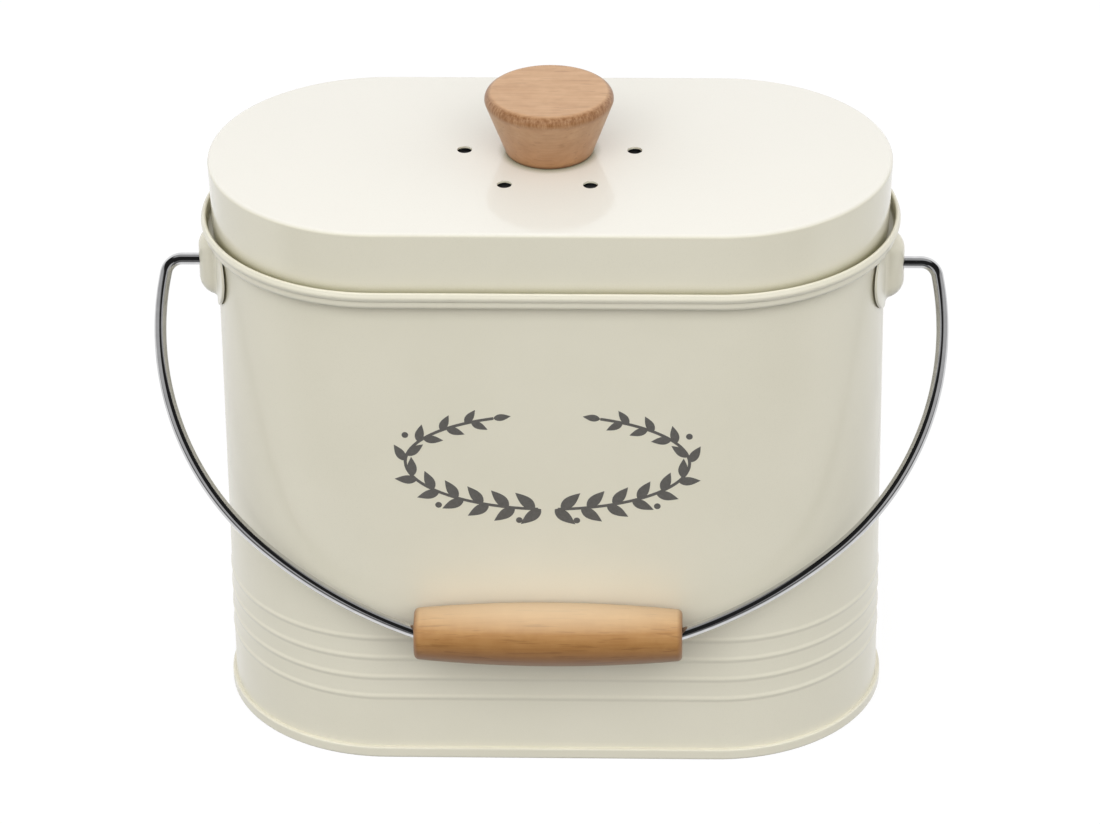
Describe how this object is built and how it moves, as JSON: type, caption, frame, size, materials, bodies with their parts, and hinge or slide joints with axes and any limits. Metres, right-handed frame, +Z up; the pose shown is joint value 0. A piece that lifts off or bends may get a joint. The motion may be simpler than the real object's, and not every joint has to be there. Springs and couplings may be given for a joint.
{
  "type": "compost caddy",
  "caption": "Oval coated-steel kitchen caddy with a lift-off vented lid, turned knob, swinging wire bail with a turned grip, charcoal filter and removable inner bucket.",
  "frame": {"origin": "middle of the base, at the level that it stands on", "axes": "+Z up, X from ear to ear along the oval's long axis, the printed front and the lowered bail face -Y"},
  "size_m": [0.3112, 0.1613, 0.2639],
  "materials": {
    "body_paint": "satin powder coat",
    "lid_paint": "satin powder coat",
    "wire_steel": "polished",
    "grip_wood": "satin lacquer",
    "knob_wood": "satin lacquer",
    "insert_brass": "machined",
    "fixing_steel": "zinc plated",
    "dish_plastic": "moulded matt",
    "filter_felt": "needled felt",
    "bucket_plastic": "moulded matt"
  },
  "bodies": {
    "body": {"body_shell": "body_paint", "base_pan": "body_paint", "ear_left": "body_paint", "ear_right": "body_paint"},
    "bail": {"bail_wire": "wire_steel"},
    "grip": {"grip": "grip_wood"},
    "bucket": {"inner_bucket": "bucket_plastic"},
    "lid": {"lid": "lid_paint", "knob": "knob_wood", "knob_insert": "insert_brass", "knob_screw": "fixing_steel", "knob_washer": "fixing_steel", "filter_dish": "dish_plastic", "charcoal_filter": "filter_felt"}
  },
  "joints": [
    {"name": "bail_swing", "type": "hinge", "parent": "body", "child": "bail", "pos_m": [0, 0, 0.1898], "axis": [-1, 0, 0], "range_deg": [0, 295.2]},
    {"name": "grip_spin", "type": "hinge", "parent": "bail", "child": "grip", "pos_m": [0, -0.0778, 0.06567], "axis": [1, 0, 0], "continuous": true},
    {"name": "bucket_lift", "type": "slide", "parent": "body", "child": "bucket", "axis": [0, 0, 1], "range_m": [0, 0.22]},
    {"name": "lid_lift", "type": "slide", "parent": "bucket", "child": "lid", "axis": [0, 0, 1], "range_m": [0, 0.12]}
  ]
}
